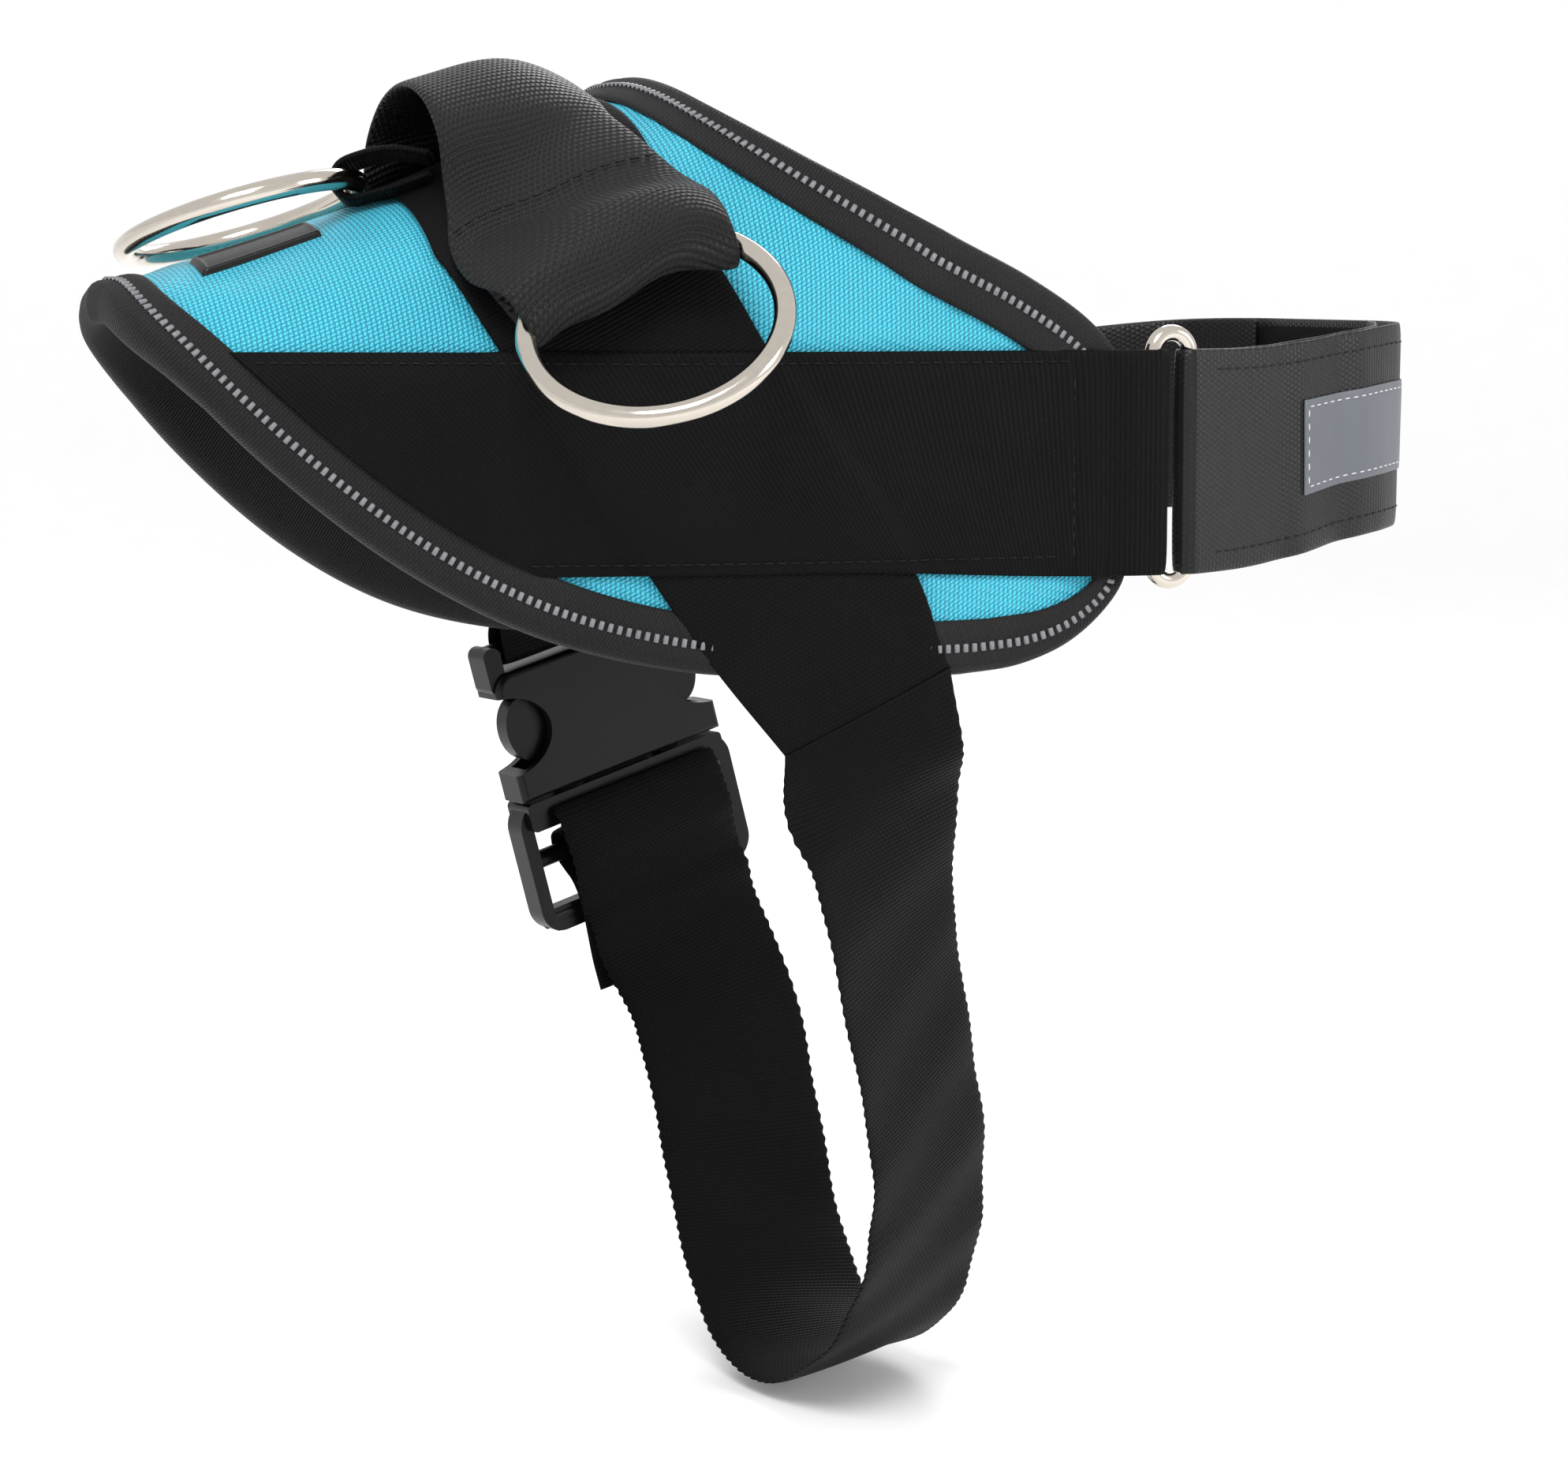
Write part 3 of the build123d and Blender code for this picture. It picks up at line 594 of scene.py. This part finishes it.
def make_side_band(sign, name, node):
    """Side band: flat on the flap, up over the girth webbing, and round the link's rear bar."""
    w = columns(21)
    z = BAND_Z + WEBBING * (0.5 - w)
    rear = np.maximum(band_rear(z), -72.0)
    t = np.linspace(0, 1, 240)[:, None]
    x = rear[None, :] + (130.0 - rear[None, :]) * t
    s = s_at(x, np.broadcast_to(z, x.shape))
    edge = np.minimum(w, 1 - w)[None, :] * WEBBING
    over = girth_mask(x, s) * 1.35
    lift = 0.75 + over + 0.35 * ramp(edge, 0.5, 3.5) + 0.1 * ripple(x, s, 11 if sign < 0 else 12)
    seam = np.exp(-((edge - 2.6) / 0.7) ** 2) * 0.28 + np.exp(-((x - 122) / 0.8) ** 2) * 0.3
    droop = 2.2 * w[None, :] * ramp(x, 60, 130)
    s = s + droop
    body = on_saddle(x, s * sign, lift - seam + 1.2 * ramp(x, 116, 130))
    bar = LINK_X - LINK_HALF
    angle = np.radians(np.linspace(-100, 95, 26))
    y = link_y() - 2.95 * np.sin(angle)
    fold = np.stack([bar + 2.95 * np.cos(angle), y], axis=-1)
    plan = np.vstack([[(130, half_width(130) + 2.3), (136, link_y() + 2.2)], fold,
                      [(139.6, link_y() - 2.6)]])
    plan = smooth(plan, 60)[2:]
    wrap = np.stack(np.broadcast_arrays(plan[:, :1], plan[:, 1:2] * sign, (z - 2.2 * w)[None, :]), axis=-1)
    mid = np.concatenate([body, wrap], axis=0)
    band = strap(f"{name}", mid, 1.5, BAND)
    declare(band, "saddle", "black_webbing", node)
    outward = (0, sign, 0)
    for tag, row_z in (("top", -37.6), ("bottom", -82.4)):
        xs = np.linspace(float(band_rear(row_z)) + 2, 121, 160)
        ss = s_at(xs, np.full(160, row_z))
        line = on_saddle(xs, ss * sign, 1.72 + girth_mask(xs, ss) * 1.35)
        declare(stitches(f"{name}_{tag}_row", line, THREAD, 2.2, 0.9, 0.16, outward), "saddle",
                "black_webbing")
    zs = np.linspace(-41, -83, 40)
    end = on_saddle(np.full(40, 122.0), s_at(np.full(40, 122.0), zs) * sign, 1.9)
    declare(stitches(f"{name}_end_row", end, THREAD, 2.4, 1.0, 0.24, outward), "saddle", "black_webbing")


# ------------------------------------------------------------------ handle
RING_G = np.array([0.173, 0.716, 0.677])
RING_N = np.array([-0.382, -0.585, 0.716])


# The handle's right end, row by row from its inner layer round the lip to the arch's foot:
# three points across each.
HANDLE_ROWS = [
    ((-13.0, -50.8, -18.8), (14.5, -59.0, -8.5), (35.5, -60.8, -1.6)),
    ((-9.0, -57.5, -26.0), (16.5, -65.5, -14.0), (38.0, -69.5, -8.5)),
    ((-6.0, -62.0, -31.5), (14.2, -69.0, -20.0), (38.0, -75.0, -12.8)),
    ((-7.0, -71.5, -33.9), (12.2, -73.6, -21.6), (37.6, -79.0, -14.2)),
    ((-9.8, -73.5, -29.5), (12.8, -75.6, -18.2), (36.9, -81.2, -11.2)),
    ((-12.8, -68.0, -23.0), (16.4, -72.6, -9.4), (36.0, -80.0, -6.6)),
    ((-16.4, -54.5, -19.4), (16.2, -63.0, -2.8), (36.4, -69.5, -0.4)),
    ((-16.6, -42.5, -12.4), (9.8, -49.5, -2.4), (33.2, -55.5, 5.4)),
    ((-14.4, -34.5, -4.4), (6.5, -38.0, 5.0), (29.4, -40.5, 13.6)),
]
ARCH_REAR = [(-29.0, 4.0), (-26.0, 13.0), (-17.5, 21.0), (-8.0, 24.9), (0.0, 25.9)]
ARCH_FORE = [(-31.0, 18.2), (-23.5, 21.4), (-15.5, 23.6), (-7.5, 25.4), (0.0, 26.2)]


def handle_edge(w):
    """The handle strap's middle line at w across its width, from the right loop to the top."""
    points = []
    wave = math.sin(2 * math.pi * (1.6 * w + 0.1)) * (0.4 + 0.6 * w)
    for row, (a, b, c) in enumerate(HANDLE_ROWS):
        first, middle, last = np.array(a), np.array(b), np.array(c)
        point = first * (1 - w) * (1 - 2 * w) + middle * 4 * w * (1 - w) + last * w * (2 * w - 1)
        fade = (0, 0.3, 0.8, 1.0, 0.9, 0.4, 0.1, 0, 0)[row]
        points.append(point + (RING_G * 1.3 + RING_N * 1.1) * wave * fade)
    for k, ((ya, za), (yb, zb)) in enumerate(zip(ARCH_REAR, ARCH_FORE)):
        bulge = (1.0, 2.2, 3.8, 4.9, 5.3)[k] * math.sin(math.pi * w ** 1.35)
        points.append(np.array([-13.5 + 40.5 * w, ya + (yb - ya) * w, za + (zb - za) * w + bulge]))
    return points


def make_handle():
    w = columns(25)
    lines = []
    for v in w:
        right = handle_edge(v)
        left = [p * np.array([1, -1, 1]) for p in right[::-1][1:]]
        lines.append(smooth(np.array(right + left), 420))
    mid = np.stack(lines, axis=1)
    handle = strap("handle_strap", mid, 2.3, HEAVY)
    declare(handle, "saddle", "heavy_webbing", "handle_webbing", "ring_loop_right", "ring_loop_left")
    outside = normals(mid)
    outside = outside * np.sign((outside * (0, 0, 1)).sum(axis=-1, keepdims=True).mean())
    for tag, row in (("rear", 118), ("front", 302)):
        line = mid[row, 2:-2] + outside[row, 2:-2] * 1.25
        declare(stitches(f"handle_{tag}_row", line, THREAD, 2.4, 0.9, 0.3), "saddle", "heavy_webbing")
    return mid


def make_leash_tab():
    centre = np.array([-50.0, 7.0, -4.8])
    long_way = np.array([0.887, -0.359, 0.290])
    up = np.array([-0.223, 0.217, 0.950])
    across = np.cross(long_way, up)
    crown = centre + long_way * 28.0
    profile = [(17, -4.2), (10, -4.6), (3, -4.6), (-2.6, -3.9), (-5.0, 0.0), (-2.6, 3.9), (3, 4.8),
               (10, 4.0), (18, 0.5)]
    line = smooth(np.array([crown + long_way * a + up * b for a, b in profile]), 90)
    w = columns(13)
    mid = line[:, None, :] + across[None, None, :] * ((w - 0.5) * 19)[None, :, None]
    loop = strap("leash_loop", mid, 1.9, BLACK, 19)
    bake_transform(loop)
    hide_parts("leash_ring_tab")


def make_label():
    t = np.linspace(0, 1, 61)
    w = np.linspace(0, 1, 31)
    x = -66 + 28 * t[:, None] + 0 * w
    s = -4.5 - 11 * w[None, :] + 0 * t[:, None]
    edge = np.minimum(np.minimum(t[:, None], 1 - t[:, None]) * 28, np.minimum(w, 1 - w)[None, :] * 11)
    height = 1.55 * ramp(edge, -0.2, 0.8) - 0.35 * ramp(edge, 1.2, 1.7)
    grid = on_saddle(x, s, height)
    declare(add_mesh("blank_label", grid, np.stack([x, s], axis=-1), RUBBER), "saddle", "label_rubber",
            "rubber_label")


# ------------------------------------------------------------------ chest strap
def chest_plan(shift, skip, share=1.0):
    """Plan of the right half of the chest strap, from the link towards the middle."""
    start = np.array([LINK_X + LINK_HALF + shift * math.sin(LEAN), -link_y() - shift * math.cos(LEAN)])
    way = np.array([math.cos(LEAN), math.sin(LEAN)])
    bend = start + way * 62.0
    radius = 38.0 + shift
    centre = bend + radius * np.array([-math.sin(LEAN), math.cos(LEAN)])
    angles = np.radians(np.linspace(-69, 0, 40))
    arc = centre + radius * np.stack([np.cos(angles), np.sin(angles)], axis=-1)
    straight = start + way * np.linspace(skip, 60, 30)[:, None]
    line = np.vstack([straight, arc])
    return line[:max(int(len(line) * share), 4)]


def chest_rise(x):
    return 5.5 * ramp(x, 165, 238)


def chest_grid(plan, width, cols=21, folds=0.0):
    """A band standing on its plan line, raised towards the front and gently folded."""
    w = columns(cols)
    way = np.gradient(plan, axis=0)
    way = way / (np.linalg.norm(way, axis=1, keepdims=True) + 1e-9)
    out = np.stack([way[:, 1], -way[:, 0]], axis=-1)
    place = plan[:, 0] - 0.25 * np.abs(plan[:, 1])
    level = (0.5 - w)[None, :] * width
    crumple = np.sin(place / 3.4 + 0.6) * 0.7 + np.sin(place / 1.9) * 0.2 + np.sin(place / 7.0 + 2.4) * 0.9
    lean = np.sin(place[:, None] / 5.0 + level / 16.0) * 0.6
    near_link = ramp(plan[:, 0], 160, 185)[:, None]
    shift = folds * near_link * (crumple[:, None] + lean)
    x = plan[:, :1] + out[:, :1] * shift
    y = plan[:, 1:] + out[:, 1:] * shift
    droop = 2.2 * (1 - ramp(plan[:, :1], 150, 215)) * w[None, :]
    z = BAND_Z + width * (0.5 - w)[None, :] + chest_rise(plan[:, :1]) - droop
    return np.stack(np.broadcast_arrays(x, y, z), axis=-1)


def both_sides(plan):
    return np.vstack([plan, plan[::-1][1:] * np.array([1, -1])])


def chest_fold():
    """Plan of the tail, the fold round the right link's front bar, and the start of the strap."""
    centre = np.array([LINK_X + LINK_HALF, -link_y()])
    angles = np.radians(np.linspace(111, 291, 24))
    turn = centre + 2.95 * np.stack([np.cos(angles), np.sin(angles)], axis=-1)
    tail = chest_plan(-0.95, 13.0, 0.93)
    return tail[::-1], turn


def make_chest():
    tail, turn = chest_fold()
    half = np.vstack([tail, turn, chest_plan(2.95, 9.0)])
    plan = spread(both_sides(half), 900)
    webbing = strap("chest_strap", chest_grid(plan, WEBBING, 25, 0.42), 1.3, SATIN)
    declare(webbing, "chest_strap", "satin_webbing", "chest_webbing")
    tape = spread(both_sides(chest_plan(1.7, 26)), 300)
    loop = strap("loop_pile_tape", chest_grid(tape, 46), 0.9, FUZZ, 46)
    declare(loop, "chest_strap", "hook_and_loop", "loop_tape")
    for side, name in ((1, "right"), (-1, "left")):
        hook = spread(chest_plan(0.6, 26, 0.9) * np.array([1, side]), 150)
        piece = strap(f"hook_tape_{name}_pile", chest_grid(hook, 44), 0.85, FUZZ, 44)
        declare(piece, "chest_strap", "hook_and_loop", f"hook_tape_{name}")
    patch_plan = spread(both_sides(chest_plan(3.95, 38)), 260)
    patch = strap("reflective_strip", chest_grid(patch_plan, 22, 21, 0.42), 0.4, PATCH, 22)
    declare(patch, "chest_strap", "reflective_fabric", "reflective_patch")
    edge_plan = spread(both_sides(chest_plan(4.2, 39.6)), 260)
    edges = chest_grid(edge_plan, 18.4, 5, 0.42)
    for name, column in (("upper", 0), ("lower", -1)):
        line = edges[:, column]
        declare(stitches(f"patch_{name}_row", line, WHITE_THREAD, 1.7, 1.2, 0.2), "chest_strap",
                "reflective_fabric")
    for side in (1, -1):
        line = edges[0] * np.array([1, side, 1])
        declare(stitches(f"patch_end_row_{'right' if side > 0 else 'left'}", line, WHITE_THREAD, 1.7, 1.2,
                         0.2),
                "chest_strap", "reflective_fabric")
    hems = chest_grid(spread(both_sides(chest_plan(3.65, 6)), 300), 40.6, 5, 0.42)
    for name, column in (("upper", 0), ("lower", -1)):
        line = hems[:, column]
        declare(stitches(f"chest_{name}_row", line, THREAD, 2.2, 1.0, 0.22), "chest_strap", "satin_webbing")


# ------------------------------------------------------------------ belly strap
BELLY = [
    ((72.5, -73.9, -118.0), -7.5, 24.0), ((75.2, -72.0, -133.5), 6.0, 3.0),
    ((78.5, -70.0, -146.0), 22.0, -2.5), ((84.0, -65.0, -173.0), 32.0, -6.5),
    ((90.0, -60.0, -193.5), 34.0, -8.0), ((96.2, -54.0, -214.0), 36.0, -8.5),
    ((101.4, -46.0, -235.0), 36.0, -8.0), ((104.0, -35.0, -257.0), 34.0, -5.0),
    ((104.0, -21.0, -275.0), 28.0, 0.0), ((102.5, -4.0, -287.0), 20.0, 3.5),
    ((101.0, 12.0, -291.0), 14.0, 4.0), ((100.3, 27.5, -287.5), 10.0, 1.5),
    ((100.2, 41.0, -279.0), 8.0, -1.5), ((100.0, 54.0, -262.0), 7.5, -4.0),
    ((99.0, 64.5, -236.0), 7.5, -3.0), ((95.5, 71.5, -210.0), 7.5, 2.0),
]
BUCKLE = np.array([60.0, 79.8, -105.4])
YAW, TILT = math.radians(9.0), math.radians(15.5)
ACROSS = np.array([math.cos(TILT) * math.cos(YAW), math.cos(TILT) * math.sin(YAW), math.sin(TILT)])
OUT = np.array([-math.sin(YAW), math.cos(YAW), 0])
DOWN = np.array([math.sin(TILT) * math.cos(YAW), math.sin(TILT) * math.sin(YAW), -math.cos(TILT)])


def direction(yaw, tilt):
    yaw, tilt = math.radians(yaw), math.radians(tilt)
    return np.array([math.cos(tilt) * math.cos(yaw), math.cos(tilt) * math.sin(yaw), math.sin(tilt)])


def on_buckle(across, out, down):
    return BUCKLE + ACROSS * across + OUT * out + DOWN * down


def make_belly():
    """Belly strap from the crease on the right flap, under the dog and up the inner side of the ladder."""
    ladder = [(87.0, -6.2, 4.0), (80.0, -7.0, 3.6), (73.5, -6.2, 3.0), (68.5, -7.2, 2.4), (61.0, -9.6, 1.6),
              (53.0, -9.6, 1.0), (48.0, -8.6, 0.8), (45.6, -7.0, 0.8)]
    centres = [np.array(c) for c, _, _ in BELLY] + [on_buckle(q, n, p) for p, n, q in ladder]
    widths = [direction(yaw, tilt) for _, yaw, tilt in BELLY] + [ACROSS] * len(ladder)
    line = smooth(np.hstack([centres, widths]), 700)
    centre, width = line[:, :3], line[:, 3:]
    along = np.gradient(centre, axis=0)
    along = along / np.linalg.norm(along, axis=1, keepdims=True)
    width = width - along * (width * along).sum(axis=1, keepdims=True)
    width = width / np.linalg.norm(width, axis=1, keepdims=True)
    w = columns(25)
    run = np.concatenate([[0], np.cumsum(np.linalg.norm(np.diff(centre, axis=0), axis=1))])
    scallop = 0.28 * np.sin(run * 2 * math.pi / 2.9)
    reach = (w - 0.5)[None, :] * (WEBBING + 2 * scallop[:, None])
    mid = centre[:, None, :] + width[:, None, :] * reach[..., None]
    out = np.cross(width, along)
    cup = (1 - (2 * w - 1) ** 2)[None, :] * (0.6 * np.sin(run / 31.0)
                                             + 0.35 * np.sin(run / 12.0 + 1))[:, None]
    wrinkle = 0.35 * np.sin((run[:, None] + 18 * w[None, :]) / 4.6)
    fade = (ramp(run, 4, 40) * (1 - ramp(run, run[-1] - 70, run[-1] - 48)))[:, None]
    mid = mid + out[:, None, :] * ((cup + wrinkle) * fade)[..., None]
    rear, fore = np.array(GIRTH_REAR[-1]), np.array(GIRTH_FORE[-1])
    foot = rear[None, :] * (1 - w[:, None]) + fore[None, :] * w[:, None]
    top = on_saddle(foot[:, 0], -s_at(foot[:, 0], foot[:, 1]), 0.9)
    share = ramp(run, -2, 26)[:, None, None]
    fall = run[:, None, None] * np.array([0.12, 0.1, -0.99])
    mid = (top[None] + fall) * (1 - share) + mid * share
    belly = strap("belly_strap_webbing", mid, 1.3, BLACK)
    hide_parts("belly_webbing")
    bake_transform(belly)


def make_adjuster():
    """The strap's return over the ladder's bars, with its short tail on the outer side."""
    path = [(63.0, -6.0), (58.0, -5.6), (54.6, -3.4), (53.6, 0.4), (55.2, 3.3), (59.4, 3.9), (62.4, 2.4),
            (64.6, 0.2),
            (67.0, -2.2), (71.0, -3.7), (75.5, -3.9), (82.0, -3.2), (90.0, -2.4), (98.0, -2.6)]
    line = smooth(path, 220)
    w = columns(21)
    mid = on_buckle(0, 0, 0) + line[:, None, :1] * DOWN + line[:, None, 1:2] * OUT
    mid = mid + ACROSS * (3.0 + (w - 0.5)[None, :, None] * (WEBBING - 1.0))
    declare(strap("adjuster_loop", mid, 1.25, BLACK), "belly_strap", "black_webbing", "adjuster_tail")


def make_female_loop():
    path = [(-16, -9.4), (-13, -8.2), (-7, -6.6), (-2.5, -4.3), (1.2, -3.6), (4.8, -2.8), (6.2, 0.0),
            (4.8, 2.8),
            (1.0, 3.6), (-3.5, 1.6), (-7.5, -3.4), (-13, -5.9), (-17, -7.0)]
    line = smooth(path, 120)
    w = columns(21)
    mid = on_buckle(0, 0, 0) + line[:, None, :1] * DOWN + line[:, None, 1:2] * OUT
    mid = mid + ACROSS * ((w - 0.5)[None, :, None] * WEBBING)
    declare(strap("buckle_loop", mid, 1.25, BLACK), "saddle", "black_webbing", "female_loop")


# ------------------------------------------------------------------ carried-over metal and plastic
def finish_hardware():
    for names, material in (
        (("side_ring_right", "side_ring_left", "leash_ring", "front_link_right", "front_link_left"),
         NICKEL),
        (("buckle_female", "buckle_male", "prong_front", "prong_rear"), PLASTIC),
    ):
        for name in names:
            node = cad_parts[name]
            node.data.materials.clear()
            node.data.materials.append(material)


# ------------------------------------------------------------------ studio
def make_studio():
    floor = plain("studio_paper", (0.86, 0.86, 0.86), (0.90, 0.90, 0.90), 0.9, 30, 0.0,
                  Emission_Color=(1, 1, 1, 1), Emission_Strength=0.03)
    radii = np.concatenate([np.linspace(0.01, 1900, 12),
                            1900 + 900 * np.sin(np.radians(np.linspace(8, 90, 12)))])
    rise = np.concatenate([np.zeros(12), 900 * (1 - np.cos(np.radians(np.linspace(8, 90, 12))))])
    turn = np.linspace(0, 2 * math.pi, 97)
    grid = np.stack([radii[:, None] * np.cos(turn) + 80, radii[:, None] * np.sin(turn),
                     np.repeat(rise[:, None], 97, axis=1) - 297.0], axis=-1)
    sweep = add_mesh("studio_sweep", grid, np.stack([grid[..., 0], grid[..., 1]], axis=-1), floor)
    world = bpy.data.worlds.new("studio")
    bpy.context.scene.world = world
    world.use_nodes = True
    world.node_tree.nodes["Background"].inputs["Color"].default_value = (1.0, 1.0, 1.0, 1)
    world.node_tree.nodes["Background"].inputs["Strength"].default_value = 0.9
    bpy.context.scene.view_settings.view_transform = "Standard"
    aim = Vector((0.08, 0, -0.1))
    for name, place, size, power in (("key", (-0.6, -1.2, 1.3), 0.8, 26), ("rim", (0.9, 1.1, 0.9), 0.7, 10),
                                     ("front", (1.2, -1.0, 0.35), 0.5, 7)):
        data = bpy.data.lights.new(name, "AREA")
        data.energy, data.size = power, size
        light = bpy.data.objects.new(name, data)
        light.location = place
        light.rotation_euler = (aim - Vector(place)).to_track_quat("-Z", "Y").to_euler()
        bpy.context.scene.collection.objects.link(light)


def make_camera():
    azimuth, elevation, distance = math.radians(-24), math.radians(6.5), 1.0
    target = Vector((0.084, 0.0, -0.129))
    view = Vector((-math.sin(azimuth) * math.cos(elevation), math.cos(azimuth) * math.cos(elevation),
                   -math.sin(elevation)))
    data = bpy.data.cameras.new("camera")
    data.sensor_width, data.lens = 36.0, 93.3
    camera = bpy.data.objects.new("camera", data)
    camera.location = target - view * distance
    camera.rotation_euler = view.to_track_quat("-Z", "Y").to_euler()
    bpy.context.scene.collection.objects.link(camera)
    bpy.context.scene.camera = camera


make_camera()
make_studio()
make_saddle()
make_girth()
make_side_band(-1, "side_band_right_webbing", "side_band_right")
make_side_band(1, "side_band_left_webbing", "side_band_left")
make_handle()
make_leash_tab()
make_label()
make_chest()
make_belly()
make_adjuster()
make_female_loop()
finish_hardware()
